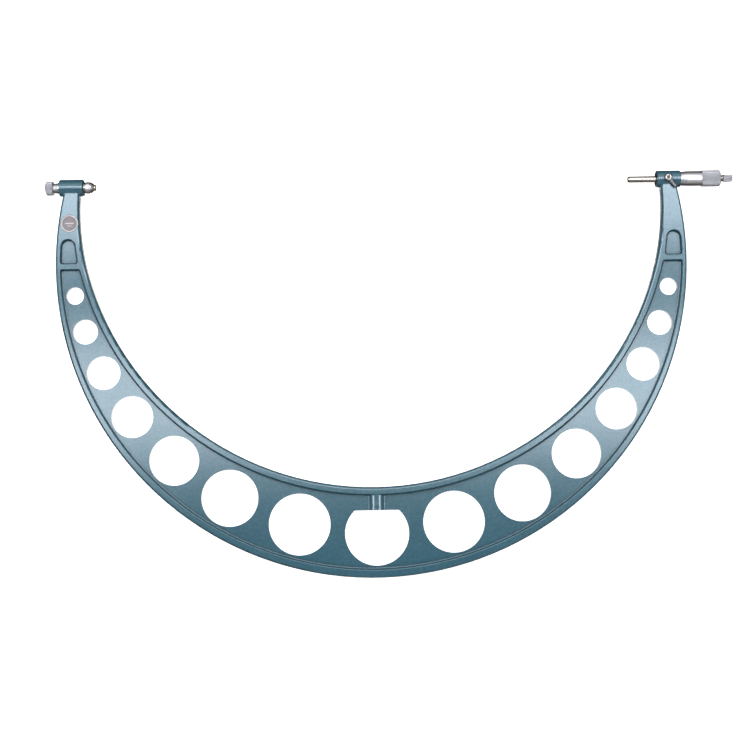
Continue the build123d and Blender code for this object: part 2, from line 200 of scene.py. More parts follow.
def skin(bm, rows):
    """Joins rows of vertices, each one closed section, into a tube with capped ends."""
    for a, b in zip(rows, rows[1:]):
        for i in range(len(a)):
            j = (i + 1) % len(a)
            bm.faces.new((a[i], a[j], b[j], b[i]))
    bm.faces.new(list(reversed(rows[0])))
    bm.faces.new(rows[-1])


def baked(piece):
    """Applies the modifiers of a piece to its mesh."""
    bpy.context.view_layer.update()
    graph = bpy.context.evaluated_depsgraph_get()
    mesh = bpy.data.meshes.new_from_object(piece.evaluated_get(graph))
    piece.modifiers.clear()
    piece.data = mesh
    return piece


def cut(piece, cutter):
    """Cuts a closed mesh out of a piece and removes the cutter."""
    tool = piece.modifiers.new("cut", "BOOLEAN")
    tool.operation = "DIFFERENCE"
    tool.solver = "EXACT"
    tool.object = cutter
    baked(piece)
    piece.data.set_sharp_from_angle(angle=SMOOTH_ANGLE)
    bpy.data.objects.remove(cutter)
    return piece


def block(bm, x0, x1, y0, y1, z0, z1, edge=0.0):
    """Adds a box, with its edges broken if asked, to a bmesh."""
    made = bmesh.ops.create_cube(bm, size=1)["verts"]
    for v in made:
        v.co = Vector((x0 + (x1 - x0) * (v.co.x + 0.5), y0 + (y1 - y0) * (v.co.y + 0.5),
                       z0 + (z1 - z0) * (v.co.z + 0.5)))
    if edge:
        edges = list({e for v in made for e in v.link_edges})
        bmesh.ops.bevel(bm, geom=edges, offset=edge, segments=2, affect="EDGES", profile=0.6)


# --------------------------------------------------------------- materials ----

class Shader:
    """A node material with the Principled shader and helpers to add nodes to it."""

    def __init__(self, name):
        self.material = bpy.data.materials.new(name)
        self.material.use_nodes = True
        self.nodes = self.material.node_tree.nodes
        self.links = self.material.node_tree.links
        self.surface = self.nodes["Principled BSDF"]
        self.place = self.add("ShaderNodeTexCoord").outputs["Object"]

    def add(self, kind, **settings):
        """A new node with the given settings."""
        node = self.nodes.new(kind)
        for key, value in settings.items():
            setattr(node, key, value)
        return node

    def put(self, socket, value):
        """Links a node's output to a socket, or writes a plain value into it."""
        if isinstance(value, bpy.types.NodeSocket):
            self.links.new(value, socket)
        else:
            socket.default_value = value

    def set(self, **values):
        """Sets inputs of the Principled shader, with _ for each space in their names."""
        for key, value in values.items():
            self.put(self.surface.inputs[key.replace("_", " ")], value)

    def math(self, operation, a, b=0.0):
        """One arithmetic step on one or two values."""
        node = self.add("ShaderNodeMath", operation=operation)
        self.put(node.inputs[0], a)
        self.put(node.inputs[1], b)
        return node.outputs[0]

    def noise(self, scale, detail=3.0, rough=0.5, vector=None, dimensions="3D"):
        """Cloudy values from 0 to 1, with about scale clouds to the metre."""
        node = self.add("ShaderNodeTexNoise", noise_dimensions=dimensions)
        self.put(node.inputs["Vector"], vector or self.place)
        node.inputs["Scale"].default_value = scale
        node.inputs["Detail"].default_value = detail
        node.inputs["Roughness"].default_value = rough
        return node.outputs["Fac"]

    def ramp(self, value, low, high, to_low=0.0, to_high=1.0):
        """Maps low..high to to_low..to_high, and holds it there beyond the ends."""
        node = self.add("ShaderNodeMapRange")
        self.put(node.inputs["Value"], value)
        for key, number in zip(("From Min", "From Max", "To Min", "To Max"),
                               (low, high, to_low, to_high)):
            node.inputs[key].default_value = number
        return node.outputs["Result"]

    def mix(self, share, a, b):
        """Colour a at a share of 0, colour b at a share of 1."""
        node = self.add("ShaderNodeMix", data_type="RGBA")
        first_colour, second_colour, mixed_colour = node.inputs[6], node.inputs[7], node.outputs[2]
        self.put(node.inputs["Factor"], share)
        self.put(first_colour, a)
        self.put(second_colour, b)
        return mixed_colour

    def bump(self, height, strength, distance):
        """A normal roughened by a height field; the distance is the relief in metres."""
        node = self.add("ShaderNodeBump")
        self.put(node.inputs["Height"], height)
        node.inputs["Strength"].default_value = strength
        node.inputs["Distance"].default_value = distance
        return node.outputs["Normal"]

    def openness(self, distance, inside=False):
        """1 where nothing is within the distance, falling towards 0 in corners."""
        node = self.add("ShaderNodeAmbientOcclusion", samples=8, inside=inside)
        node.inputs["Distance"].default_value = distance
        return node.outputs["AO"]

    def edges(self, low, high):
        """0 in hollows to 1 on edges, from the mesh's pointiness."""
        return self.ramp(self.add("ShaderNodeNewGeometry").outputs["Pointiness"], low, high)


def enamel():
    """Pearl blue enamel over a fine cast surface: mottled, with painted shade darkening its corners, and
    edges lightened by thin worn paint and a painted highlight.
    """
    s = Shader("pearl_enamel")
    deep_blue, blue = (0.032, 0.102, 0.138, 1), (0.040, 0.120, 0.160, 1)
    pearl, shadow_blue = (0.07, 0.20, 0.27, 1), (0.012, 0.052, 0.078, 1)
    painted_corner_shade, thin_paint_and_highlight = (0.006, 0.016, 0.022, 1), (0.16, 0.30, 0.37, 1)
    corner_reach, edge_reach = 0.006, 0.0012
    grain = s.noise(520, 6, 0.62)
    peel = s.add("ShaderNodeTexVoronoi", feature="SMOOTH_F1")
    s.put(peel.inputs["Vector"], s.place)
    peel.inputs["Scale"].default_value = 330
    grain_height = s.math("MULTIPLY", grain, 0.7)
    peel_height = s.math("MULTIPLY", peel.outputs["Distance"], 0.8)
    height = s.math("ADD", grain_height, peel_height)
    mottle = s.ramp(s.noise(11, 5, 0.6), 0.3, 0.7)
    fleck = s.ramp(s.noise(2600, 2, 0.7), 0.45, 0.75)
    speckle = s.ramp(s.noise(300, 3, 0.6), 0.38, 0.62)
    # Painted shade: within 6 mm of other surfaces, corners and recesses darken towards near black.
    open_share = s.ramp(s.openness(corner_reach), 0.52, 0.94)
    # Convex edges are lightened: thin paint where worn, and a painted highlight along the rounded edges.
    worn = s.ramp(s.openness(edge_reach, inside=True), 0.35, 0.75, 0.30, 0.0)
    tone = s.mix(mottle, deep_blue, blue)
    tone = s.mix(s.math("MULTIPLY", fleck, 0.3), tone, pearl)
    tone = s.mix(s.math("MULTIPLY", speckle, 0.35), tone, shadow_blue)
    tone = s.mix(open_share, painted_corner_shade, tone)
    tone = s.mix(worn, tone, thin_paint_and_highlight)
    s.set(Base_Color=tone, Roughness=s.ramp(s.noise(60, 4), 0.3, 0.7, 0.165, 0.185),
          Specular_IOR_Level=1.0, Specular_Tint=(0.82, 0.93, 1.0, 1), Coat_Weight=0.3,
          Coat_Roughness=0.13, Normal=s.bump(height, 0.26, 0.00010))
    return s.material


# Near black for the metals' hollows: painted shade and grime where the mesh is concave.
HOLLOW_SHADE_AND_GRIME = (0.02, 0.018, 0.016, 1)


def turned_metal(name, bright, dull, rough, groove=0.12):
    """Metal with fine tool rings about the measuring axis, faint stains and uneven polish."""
    s = Shader(name)
    groove_scale, groove_relief = 9000, 0.00003
    stain, groove_shade, hollow_shade_share = 0.25, 0.16, 0.5
    split = s.add("ShaderNodeSeparateXYZ")
    s.put(split.inputs[0], s.place)
    y, z = split.outputs[1], split.outputs[2]
    radius = s.math("SQRT", s.math("ADD", s.math("MULTIPLY", y, y), s.math("MULTIPLY", z, z)))
    rings = s.add("ShaderNodeCombineXYZ")
    s.put(rings.inputs[0], split.outputs[0])
    s.put(rings.inputs[1], radius)
    ring = s.noise(groove_scale, 3, 0.65, vector=rings.outputs[0], dimensions="2D")
    cloud = s.noise(230, 5, 0.62)
    tone = s.mix(s.ramp(cloud, 0.35, 0.75, 0.0, stain), bright, dull)
    tone = s.mix(s.math("MULTIPLY", ring, groove_shade), tone, dull)
    # Hollows, found by pointiness, darken towards near black: painted shade and grime.
    tone = s.mix(s.edges(0.47, 0.5), s.mix(hollow_shade_share, tone, HOLLOW_SHADE_AND_GRIME), tone)
    smear = s.ramp(s.noise(900, 4, 0.7), 0.35, 0.7, rough * 0.85, rough * 1.25)
    s.set(Base_Color=tone, Metallic=1.0, Roughness=smear, Normal=s.bump(ring, groove, groove_relief))
    return s.material


def brushed(name, bright, dull, rough, metallic=1.0):
    """Metal brushed in straight lines, for the badge, the lever and small flat pieces."""
    s = Shader(name)
    along_lines, across_lines = 60, 2600
    line_shade, line_relief, hollow_shade_share = 0.3, 0.00002, 0.55
    stretch = s.add("ShaderNodeMapping")
    s.put(stretch.inputs["Vector"], s.place)
    stretch.inputs["Scale"].default_value = (along_lines, across_lines, across_lines)
    lines = s.noise(1.0, 4, 0.6, vector=stretch.outputs["Vector"])
    cloud = s.noise(420, 5, 0.6)
    tone = s.mix(s.ramp(cloud, 0.35, 0.75, 0.0, 0.4), bright, dull)
    tone = s.mix(s.math("MULTIPLY", lines, line_shade), tone, dull)
    # Hollows, found by pointiness, darken towards near black: painted shade and grime.
    tone = s.mix(s.edges(0.46, 0.5), s.mix(hollow_shade_share, tone, HOLLOW_SHADE_AND_GRIME), tone)
    smear = s.ramp(cloud, 0.3, 0.7, rough * 0.8, rough * 1.3)
    s.set(Base_Color=tone, Metallic=metallic, Roughness=smear, Normal=s.bump(lines, 0.10, line_relief))
    return s.material


def ink():
    """The black filling of engraved lines and figures, a little uneven."""
    s = Shader("graduation_ink")
    fresh, faded = (0.012, 0.012, 0.013, 1), (0.12, 0.12, 0.12, 1)
    worn = s.ramp(s.noise(3200, 4, 0.7), 0.55, 0.8)
    tone = s.mix(s.math("MULTIPLY", worn, 0.4), fresh, faded)
    s.set(Base_Color=tone, Roughness=s.ramp(s.noise(1500), 0.3, 0.7, 0.4, 0.6),
          Normal=s.bump(s.noise(5000), 0.2, 0.00001))
    return s.material


paint = enamel()
satin = turned_metal("satin_chrome_turned", (0.86, 0.86, 0.90, 1), (0.60, 0.59, 0.63, 1), 0.36)
knurled = turned_metal("knurled_chrome_matt", (0.56, 0.56, 0.60, 1), (0.42, 0.42, 0.45, 1), 0.48, 0.2)
ground = turned_metal("ground_steel_lapped", (0.70, 0.66, 0.61, 1), (0.42, 0.37, 0.32, 1), 0.20, 0.10)
polished = turned_metal("polished_steel_turned", (0.66, 0.65, 0.67, 1), (0.44, 0.42, 0.42, 1), 0.27, 0.10)
carbide = turned_metal("carbide_lapped", (0.50, 0.44, 0.33, 1), (0.26, 0.22, 0.17, 1), 0.22, 0.05)
dark = turned_metal("dark_steel_turned", (0.30, 0.29, 0.29, 1), (0.15, 0.14, 0.14, 1), 0.34, 0.2)
tempered = turned_metal("tempered_ring", (0.50, 0.45, 0.40, 1), (0.30, 0.24, 0.19, 1), 0.30, 0.15)
chrome = brushed("bright_chrome_forged", (0.62, 0.62, 0.66, 1), (0.38, 0.37, 0.40, 1), 0.22)
brass = brushed("machined_brass", (0.20, 0.13, 0.055, 1), (0.10, 0.06, 0.025, 1), 0.42)
nameplate = brushed("badge_satin", (0.23, 0.205, 0.22, 1), (0.14, 0.125, 0.135, 1), 0.42, metallic=0.15)
badge_bright = brushed("badge_bright_edge", (0.56, 0.52, 0.51, 1), (0.42, 0.39, 0.39, 1), 0.38, metallic=0.2)
wire = brushed("spring_wire", (0.60, 0.60, 0.60, 1), (0.36, 0.35, 0.34, 1), 0.25)
black = ink()
finish_of = {
    "frame_paint": paint, "badge_metal": nameplate, "polished_steel": polished,
    "ground_steel": ground, "carbide": carbide, "satin_chrome": satin, "bright_chrome": chrome,
    "knurled_chrome": knurled, "dark_steel": dark, "blued_ring": tempered,
    "spring_steel": wire, "brass": brass,
}


def rides_with(piece, node, material=None):
    """Puts a piece on the body of a CAD node, in that node's finish or in another."""
    piece.data.materials.clear()
    piece.data.materials.append(material or finish_of[slot_of[node]])
    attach(piece, frame["nodes"][node]["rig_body"])
    return piece


def stands_for(piece, node):
    """Shows a piece in place of a CAD node, in that node's finish."""
    rides_with(piece, node)
    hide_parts(node)
    return piece


for name, node in frame["nodes"].items():
    node.data.materials.clear()
    node.data.materials.append(finish_of[slot_of[name]])


# ------------------------------------------------------------- anvil pieces ----

shank_r = 5.5
tail_r = 4.0
nut_x0, nut_x1, nut_r = span("anvil_adjusting_nut")
washer_x0, washer_x1, washer_r = span("anvil_washer")


def build_anvil():
    """Cone, shank and threaded tail in one."""
    x0, x1, r = span("anvil")
    tail = washer_x0 + 0.05
    thread_depth, pitch = 0.5, 1.0
    root_r, cone_end_r = tail_r - thread_depth, 4.0
    outline = [(x0, 0), (x0, tail_r - 0.6), (x0 + 0.6, tail_r)]
    outline += reversed(threads(tail - 1.2, x0 + 1.2, tail_r, thread_depth, pitch))
    outline += [(tail - 0.6, root_r), (tail, root_r), (tail, shank_r), (nut_x1, shank_r), (nut_x1, r),
                (nut_x1 + 1.0, r), (x1, cone_end_r), (x1, 0)]
    stands_for(add_object("anvil_cone_and_shank", lathe(rounded(outline, 0.12, 2))), "anvil")


def build_tips():
    """The two measuring faces, each with a small chamfer."""
    chamfer = 0.15
    for node, way in (("anvil_tip", 1), ("spindle_tip", -1)):
        x0, x1, r = span(node)
        face, back = (x1, x0) if way > 0 else (x0, x1)
        outline = [(face, 0), (face, r - chamfer), (face - way * chamfer, r), (back, r), (back, 0)]
        stands_for(add_object(node + "_lapped", lathe(rounded(outline, 0.05))), node)


def chamfered_ring(x0, x1, bore, r, along, inward):
    """The outline of a ring whose two outer edges are chamfered."""
    return [(x0, bore), (x0, r - inward), (x0 + along, r), (x1 - along, r), (x1, r - inward), (x1, bore)]


def build_anvil_rings():
    """Adjusting nut, lock ring and clamp washer."""
    nut = chamfered_ring(nut_x0, nut_x1, shank_r, nut_r, 0.7, 0.8)
    stands_for(add_object("adjusting_nut_turned", lathe(rounded(nut, 0.2))), "anvil_adjusting_nut")
    x0, x1, r = span("anvil_lock_ring")
    ring = chamfered_ring(x0, x1, shank_r, r, 0.4, 0.4)
    stands_for(add_object("lock_ring_turned", lathe(rounded(ring, 0.12))), "anvil_lock_ring")
    bore = shank_r + 0.1
    washer = [(washer_x0, bore), (washer_x0, washer_r - 0.5), (washer_x0 + 0.5, washer_r),
              (washer_x1, washer_r), (washer_x1, bore)]
    stands_for(add_object("washer_turned", lathe(rounded(washer, 0.15))), "anvil_washer")


def build_clamp_nut():
    """A knurled head with a slim neck on its boss side, closed at its outer end."""
    x0, x1 = span("anvil_clamp_nut")[:2]
    neck = x1 - 5.1
    bore_end = x0 + 3.5
    bore = tail_r + 0.05
    head_r, chamfer_r = 8.85, 7.5
    outline = [(x1, bore), (x1, 6.4), (neck + 0.8, 5.92), (neck, 6.3), (neck, chamfer_r),
               (neck - 1.2, head_r), (x0 + 1.3, head_r), (x0, chamfer_r), (x0, 2.0),
               (x0 + 0.25, 0), (bore_end, 0), (bore_end, bore)]
    grip = knurl(root=8.42, teeth=48, depth=0.43)
    bm = lathe(rounded(outline, 0.55, 5), 288, grip)
    stands_for(add_object("clamp_nut_knurled", bm, KNURL_ANGLE), "anvil_clamp_nut")


build_anvil()
build_tips()
build_anvil_rings()
build_clamp_nut()


# ----------------------------------------------------------- spindle pieces ----

def build_spindle():
    """The ground stem, its screw and its tail with a hole for the ratchet's stub."""
    x0, x1, r = span("spindle")
    thread, tail = span("thimble")[0] - 0.6, x1 - 2.6
    thread_r, tail_end_r, hole_r = 3.68, 3.0, 1.5
    hole = x1 - 7.5
    outline = [(x0, 0), (x0, r - 0.1), (x0 + 0.1, r), (thread, r), (thread, thread_r), (tail, thread_r),
               (tail, tail_end_r), (x1, tail_end_r), (x1, hole_r), (hole, hole_r), (hole, 0)]
    stands_for(add_object("spindle_ground", lathe(rounded(outline, 0.08, 2))), "spindle")


def build_bush():
    """The pressed-in guide, with a lead-in at its mouth."""
    x0, x1, r = span("spindle_bush")
    bore, lead = 4.04, 0.5
    outline = [(x0, bore + lead), (x0, r), (x1, r), (x1, bore), (x0 + lead, bore)]
    stands_for(add_object("bush_pressed", lathe(rounded(outline, 0.06, 2))), "spindle_bush")


def build_sleeve():
    """The graduated sleeve's tube."""
    x0, x1, r = span("outer_sleeve")
    bore, chamfer = 7.2, 0.3
    outline = [(x0, bore), (x0, r), (x1 - chamfer, r), (x1, r - chamfer), (x1, bore)]
    stands_for(add_object("sleeve_satin", lathe(rounded(outline, 0.08))), "outer_sleeve")


lip_x, thimble_end = span("thimble")[:2]
sleeve_r = span("outer_sleeve")[2]
lip_r = sleeve_r + 0.35
bevel_x = lip_x + 7.9
barrel_r = 9.6


def build_thimble():
    """Graduated bevel, plain barrel, a thin groove and the knurled grip."""
    bore, seat_bore = sleeve_r + 0.075, 3.05
    wall = thimble_end - 3.5
    grip_x = lip_x + 25.4
    grip_r, groove_r, knurl_depth = 10.29, 9.42, 0.3
    outline = [(lip_x, bore), (lip_x, lip_r), (bevel_x, barrel_r), (grip_x - 0.5, barrel_r),
               (grip_x - 0.25, groove_r), (grip_x, groove_r), (grip_x + 0.8, grip_r),
               (thimble_end - 0.9, grip_r), (thimble_end, 9.4), (thimble_end, seat_bore),
               (wall, seat_bore), (wall, bore)]
    grip = knurl(root=grip_r - knurl_depth, teeth=80, depth=knurl_depth)
    bm = lathe(rounded(outline, 0.12, 3), 480, grip)
    thimble = stands_for(add_object("thimble_knurled", bm, KNURL_ANGLE), "thimble")
    thimble.data.materials.append(knurled)
    for face in thimble.data.polygons:
        if face.center.x / MM > grip_x - 0.3:
            face.material_index = 1


build_spindle()
build_bush()
build_sleeve()
build_thimble()


# -------------------------------------------------------------- graduations ----

PRINT_TOP = 0.02
PRINT_ROOT = -0.03


def on_drum(x, r, turn):
    """A point at radius r whose angle is measured from +Z towards +Y."""
    return Vector((x, r * math.sin(turn), r * math.cos(turn)))


def drum_line(bm, x0, x1, radius_at, turn, width):
    """A thin raised line along X on a cylinder or cone."""
    corners = []
    for x in (x0, x1):
        for side in (-1, 1):
            for lift in (PRINT_ROOT, PRINT_TOP):
                r = radius_at(x) + lift
                corners.append(bm.verts.new(on_drum(x, r, turn + side * width / 2 / r)))
    a0, a1, b0, b1, c0, c1, d0, d1 = corners
    for face in ((a0, a1, b1, b0), (c0, d0, d1, c1), (a1, c1, d1, b1),
                 (a0, b0, d0, c0), (a0, c0, c1, a1), (b0, b1, d1, d0)):
        bm.faces.new(face)


def ring_arc(bm, x, drum_r, turn0, turn1, width):
    """A thin raised strip around part of a drum, centred at x."""
    steps = 4
    x0, x1 = x - width / 2, x + width / 2
    r0, r1 = drum_r + PRINT_ROOT, drum_r + PRINT_TOP
    section = ((x0, r0), (x0, r1), (x1, r1), (x1, r0))
    rows = []
    for i in range(steps + 1):
        turn = turn0 + (turn1 - turn0) * i / steps
        rows.append([bm.verts.new(on_drum(*corner, turn)) for corner in section])
    skin(bm, rows)


def drum_figure(bm, figure, x, radius_at, turn, size):
    """A figure wrapped on a drum, centred at x, reading along +X, its top towards +Y."""
    curve = bpy.data.curves.new("figure", "FONT")
    curve.body = figure
    curve.size = size
    curve.extrude = 0.03
    curve.resolution_u = 3
    curve.align_x = "CENTER"
    curve.align_y = "CENTER"
    holder = bpy.data.objects.new("figure", curve)
    bpy.context.scene.collection.objects.link(holder)
    bpy.context.view_layer.update()
    graph = bpy.context.evaluated_depsgraph_get()
    mesh = bpy.data.meshes.new_from_object(holder.evaluated_get(graph))
    for v in mesh.vertices:
        r = radius_at(x + v.co.x) + v.co.z
        v.co = on_drum(x + v.co.x, r, turn + v.co.y / r)
    bm.from_mesh(mesh)
    bpy.data.objects.remove(holder)
    bpy.data.meshes.remove(mesh)
    bpy.data.curves.remove(curve)


def build_sleeve_scale():
    """Whole millimetres above the datum line and halves below it, with a figure every 5 mm."""
    travel = 25
    datum_width, mark_width = 0.16, 0.12
    long_mark, short_mark = 1.75, 1.19
    near_line = 0.05
    figure_at, figure_size = 2.99, 1.9

    def flat(x):
        return sleeve_r

    bm = bmesh.new()
    drum_line(bm, lip_x - 0.9, lip_x + travel + 1.0, flat, 0, datum_width)
    for half in range(2 * travel + 1):
        x = lip_x + half / 2
        long = half % 10 == 0
        reach = long_mark if long else short_mark
        way = 1 if half % 2 == 0 else -1
        ring_arc(bm, x, sleeve_r, way * near_line / sleeve_r, way * reach / sleeve_r, mark_width)
        if long:
            drum_figure(bm, str(half // 2), x, flat, figure_at / sleeve_r, figure_size)
    rides_with(add_object("sleeve_graduations", bm), "outer_sleeve", black)


def build_thimble_scale():
    """Fifty hundredths of a millimetre around the bevel, with a figure at every fifth."""
    marks = 50
    mark_width, long_mark, short_mark = 0.14, 3.0, 1.9
    figure_at, figure_size = 4.9, 2.1

    def slope(x):
        return lip_r + (barrel_r - lip_r) * (x - lip_x) / (bevel_x - lip_x)

    bm = bmesh.new()
    for mark in range(marks):
        turn = 2 * math.pi * mark / marks
        long = mark % 5 == 0
        reach = long_mark if long else short_mark
        drum_line(bm, lip_x + 0.15, lip_x + reach, slope, turn, mark_width)
        if long:
            drum_figure(bm, str(mark), lip_x + figure_at, slope, turn, figure_size)
    rides_with(add_object("thimble_graduations", bm), "thimble", black)


build_sleeve_scale()
build_thimble_scale()


# ------------------------------------------------------------------ ratchet ----

def rod_along_x(name, x0, x1, z, radius):
    """A round rod parallel to the measuring axis at height z."""
    bm = lathe([(x0, 0), (x0, radius), (x1, radius), (x1, 0)], 48)
    bmesh.ops.translate(bm, verts=bm.verts, vec=(0, 0, z))
    return add_object(name, bm)


def build_knob():
    """The knurled knob, bored for the ratchet's neck, its screw and the pawl."""
    x0, x1 = span("ratchet_knob")[:2]
    pawl_low, pawl_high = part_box("ratchet_pawl")
    pawl_z = (pawl_low.z + pawl_high.z) / 2 / MM
    seat = x1 - 3.4
    neck_bore, screw_bore, pawl_bore = 2.38, 3.3, 0.72
    grip_r, chamfer_r = 4.64, 4.15
    outline = [(x0, neck_bore), (x0, chamfer_r), (x0 + 0.5, grip_r), (x1 - 0.5, grip_r), (x1, chamfer_r),
               (x1, screw_bore), (seat, screw_bore), (seat, neck_bore)]
    grip = knurl(root=4.4, teeth=40, depth=0.24)
    knob = add_object("knob_knurled", lathe(rounded(outline, 0.12, 3), 280, grip), KNURL_ANGLE)
    hole = rod_along_x("pawl_hole", x0 - 1, x0 + 6.2, pawl_z, pawl_bore)
    stands_for(cut(knob, hole), "ratchet_knob")


def build_ratchet_screw():
    """The slotted screw in the end of the knob."""
    x0, x1, r = span("ratchet_screw")
    head = x1 - 1.8
    stem_r = 1.2
    slot_depth, slot_width = 0.7, 0.7
    outline = [(x0, 0), (x0, stem_r), (head, stem_r), (head, r), (x1 - 0.4, r), (x1, r - 0.5), (x1, 0)]
    screw = add_object("ratchet_screw_turned", lathe(rounded(outline, 0.12), 96))
    bm = bmesh.new()
    block(bm, x1 - slot_depth, x1 + 1, -slot_width / 2, slot_width / 2, -2 * r, 2 * r)
    stands_for(cut(screw, add_object("slot", bm)), "ratchet_screw")


def build_spring():
    """The coil behind the pawl, built at one length, though the real one shortens as the pawl lifts."""
    low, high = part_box("ratchet_spring")
    wire_r, turns, around = 0.12, 5, 12
    x0, x1 = low.x / MM + wire_r, high.x / MM - wire_r
    z, coil_r = (low.z + high.z) / 2 / MM, (high.y - low.y) / 2 / MM - wire_r
    along = Vector((1, 0, 0))
    bm = bmesh.new()
    rows = []
    steps = turns * 28
    for i in range(steps + 1):
        t = i / steps
        angle = 2 * math.pi * turns * t
        out = Vector((0, math.cos(angle), math.sin(angle)))
        middle = Vector((x0 + (x1 - x0) * t, 0, z)) + out * coil_r
        row = []
        for k in range(around):
            a = 2 * math.pi * k / around
            row.append(bm.verts.new(middle + (out * math.cos(a) + along * math.sin(a)) * wire_r))
        rows.append(row)
    skin(bm, rows)
    coil = stands_for(add_object("spring_coil", bm), "ratchet_spring")
    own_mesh(coil)


build_knob()
build_ratchet_screw()
build_spring()


# -------------------------------------------------------------------- badge ----

def build_badge():
    """A round plate with a raised bright rim, a fine ring line and three plain bars."""
    low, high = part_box("badge")
    middle = (low + high) / 2 / MM
    bottom, top = low.z / MM, high.z / MM
    r = (high.x - low.x) / 2 / MM
    field = top - 0.4
    rim_inside = r - 1.75
    outline = [(bottom, 0), (bottom, r), (top - 0.3, r), (top, r - 0.35), (top, r - 1.25),
               (field, r - 1.7), (field, r - 2.6), (field - 0.12, r - 2.75), (field, r - 2.9), (field, 0)]
    bm = lathe(rounded(outline, 0.12))
    facing_up(bm)
    bmesh.ops.translate(bm, verts=bm.verts, vec=(middle.x, middle.y, 0))
    plate = stands_for(add_object("badge_plate", bm), "badge")
    plate.data.materials.append(badge_bright)
    for face in plate.data.polygons:
        out = math.hypot(face.center.x / MM - middle.x, face.center.y / MM - middle.y)
        if out > rim_inside:
            face.material_index = 1
    bars = bmesh.new()
    for half_width, y0, y1, z1, edge in ((5.4, -0.6, 0.9, top - 0.12, 0.12),
                                         (3.6, -2.5, -2.1, field + 0.1, 0.05),
                                         (2.4, -3.9, -3.5, field + 0.1, 0.05)):
        block(bars, middle.x - half_width, middle.x + half_width, middle.y + y0, middle.y + y1,
              field - 0.1, z1, edge)
    rides_with(add_object("badge_bars", bars), "badge", badge_bright)


build_badge()


# -------------------------------------------------------------- clamp lever ----

lever_low, lever_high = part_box("clamp_lever")
stud_low, stud_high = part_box("clamp_screw")
stud = (stud_low + stud_high) / 2 / MM
lever_bottom, lever_top = lever_low.z / MM, lever_high.z / MM
screw_bore = 1.65
arm_end_r = 1.6


def lever_angle():
    """The lever's angle from +X at rest, from the far corner of its CAD box."""
    tip_x = lever_high.x / MM - arm_end_r
    tip_y = lever_low.y / MM + arm_end_r
    return math.atan2(tip_y - stud.y, tip_x - stud.x)


def lever_eye():
    """A bmesh of the domed eye, standing on Z about the stud."""
    bottom, top, eye_r = lever_bottom, lever_top, 4.85
    outline = [(bottom, screw_bore), (bottom, 4.6), (bottom + 0.4, eye_r), (top - 1.6, eye_r),
               (top - 0.5, 4.05), (top, 2.9), (top - 0.25, 2.2), (top - 0.9, screw_bore)]
    bm = lathe(rounded(outline, 0.3), 96)
    facing_up(bm)
    bmesh.ops.recalc_face_normals(bm, faces=bm.faces)
    return bm


def add_lever_arm(bm):
    """The arm along +X, with a narrow ridge, which gets slimmer and lower up to its round tip."""
    start, end = 2.3, 15.8
    start_half = 2.3
    tip_start = 0.86
    ridge_share, ridge_drop = 0.16, 0.10
    stations = 24
    rows = []
    for i in range(stations + 1):
        t = i / stations
        x = start + (end - start) * t
        near_tip = max(0.0, (t - tip_start) / (1 - tip_start))
        tip_round = math.sqrt(max(0.0, 1 - near_tip ** 2)) * 0.98 + 0.02
        half = (start_half + (arm_end_r - start_half) * t) * tip_round
        crest = lever_top - 0.35 - 0.75 * t - near_tip ** 2
        shoulder = crest - 1.15 * (1 - 0.4 * near_tip)
        ridge, ridge_side = ridge_share * half, crest - ridge_drop
        section = [(-half, lever_bottom), (-half, shoulder), (-ridge, ridge_side), (0, crest),
                   (ridge, ridge_side), (half, shoulder), (half, lever_bottom)]
        rows.append([bm.verts.new((x, y, z)) for y, z in section])
    skin(bm, rows)


def soften(piece):
    """Merges a piece into one skin and rounds its edges, like a forging."""
    merge = piece.modifiers.new("skin", "REMESH")
    merge.mode = "VOXEL"
    merge.voxel_size = 0.15 * MM
    smooth = piece.modifiers.new("soften", "SMOOTH")
    smooth.factor = 0.5
    smooth.iterations = 4
    baked(piece)


def build_lever():
    """Eye and arm as one forging, bored for the stud and for the small screw above it."""
    bm = lever_eye()
    add_lever_arm(bm)
    lever = add_object("lever_forged", bm)
    soften(lever)
    stud_bore, step = 2.5, lever_top - 1.8
    bore = lathe([(lever_bottom - 1, 0), (lever_bottom - 1, stud_bore), (step, stud_bore),
                  (step, screw_bore), (lever_top + 1, screw_bore), (lever_top + 1, 0)], 96)
    facing_up(bore)
    cut(lever, add_object("stud_hole", bore))
    to_stud = Matrix.Translation((stud.x * MM, stud.y * MM, 0))
    lever.data.transform(to_stud @ Matrix.Rotation(lever_angle(), 4, "Z"))
    for face in lever.data.polygons:
        face.use_smooth = True
    lever.data.set_sharp_from_angle(angle=math.radians(50))
    stands_for(lever, "clamp_lever")


build_lever()


# ------------------------------------------------------- camera and lights ----

scene = bpy.context.scene
lowest_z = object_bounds()[0].z
frame_low, frame_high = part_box("frame")
middle_x = (frame_low.x + frame_high.x) / 2


def build_camera():
    """Nearly square on to the frame from above it, with a small tilt."""
    roll, yaw, pitch = math.radians(0.998), math.radians(0.822), math.radians(-3.504)
    distance = 1.7617
    target = Vector((middle_x + 0.00096, -0.24338, 0))
    view = Matrix.Rotation(roll, 3, "Z") @ Matrix.Rotation(yaw, 3, "Y") @ Matrix.Rotation(pitch, 3, "X")
    turn = view.transposed()
    place = target + turn @ Vector((0, 0, distance))
    camera = bpy.data.objects.new("camera", bpy.data.cameras.new("camera"))
    camera.data.lens = 67.2
    camera.data.clip_end = 20
    camera.matrix_world = Matrix.Translation(place) @ turn.to_4x4()
    scene.collection.objects.link(camera)
    scene.camera = camera


def soft_light(name, place, target, size, watts, tint):
    """A soft box of size (x, y) in metres, aimed at the target and hidden from the camera."""
    data = bpy.data.lights.new(name, "AREA")
    data.shape = "RECTANGLE"
    data.size, data.size_y = size
    data.energy = watts
    data.color = tint
    lamp = bpy.data.objects.new(name, data)
    lamp.location = place
    lamp.rotation_mode = "QUATERNION"
    lamp.rotation_quaternion = (Vector(target) - Vector(place)).to_track_quat("-Z", "Y")
    lamp.visible_camera = False
    scene.collection.objects.link(lamp)


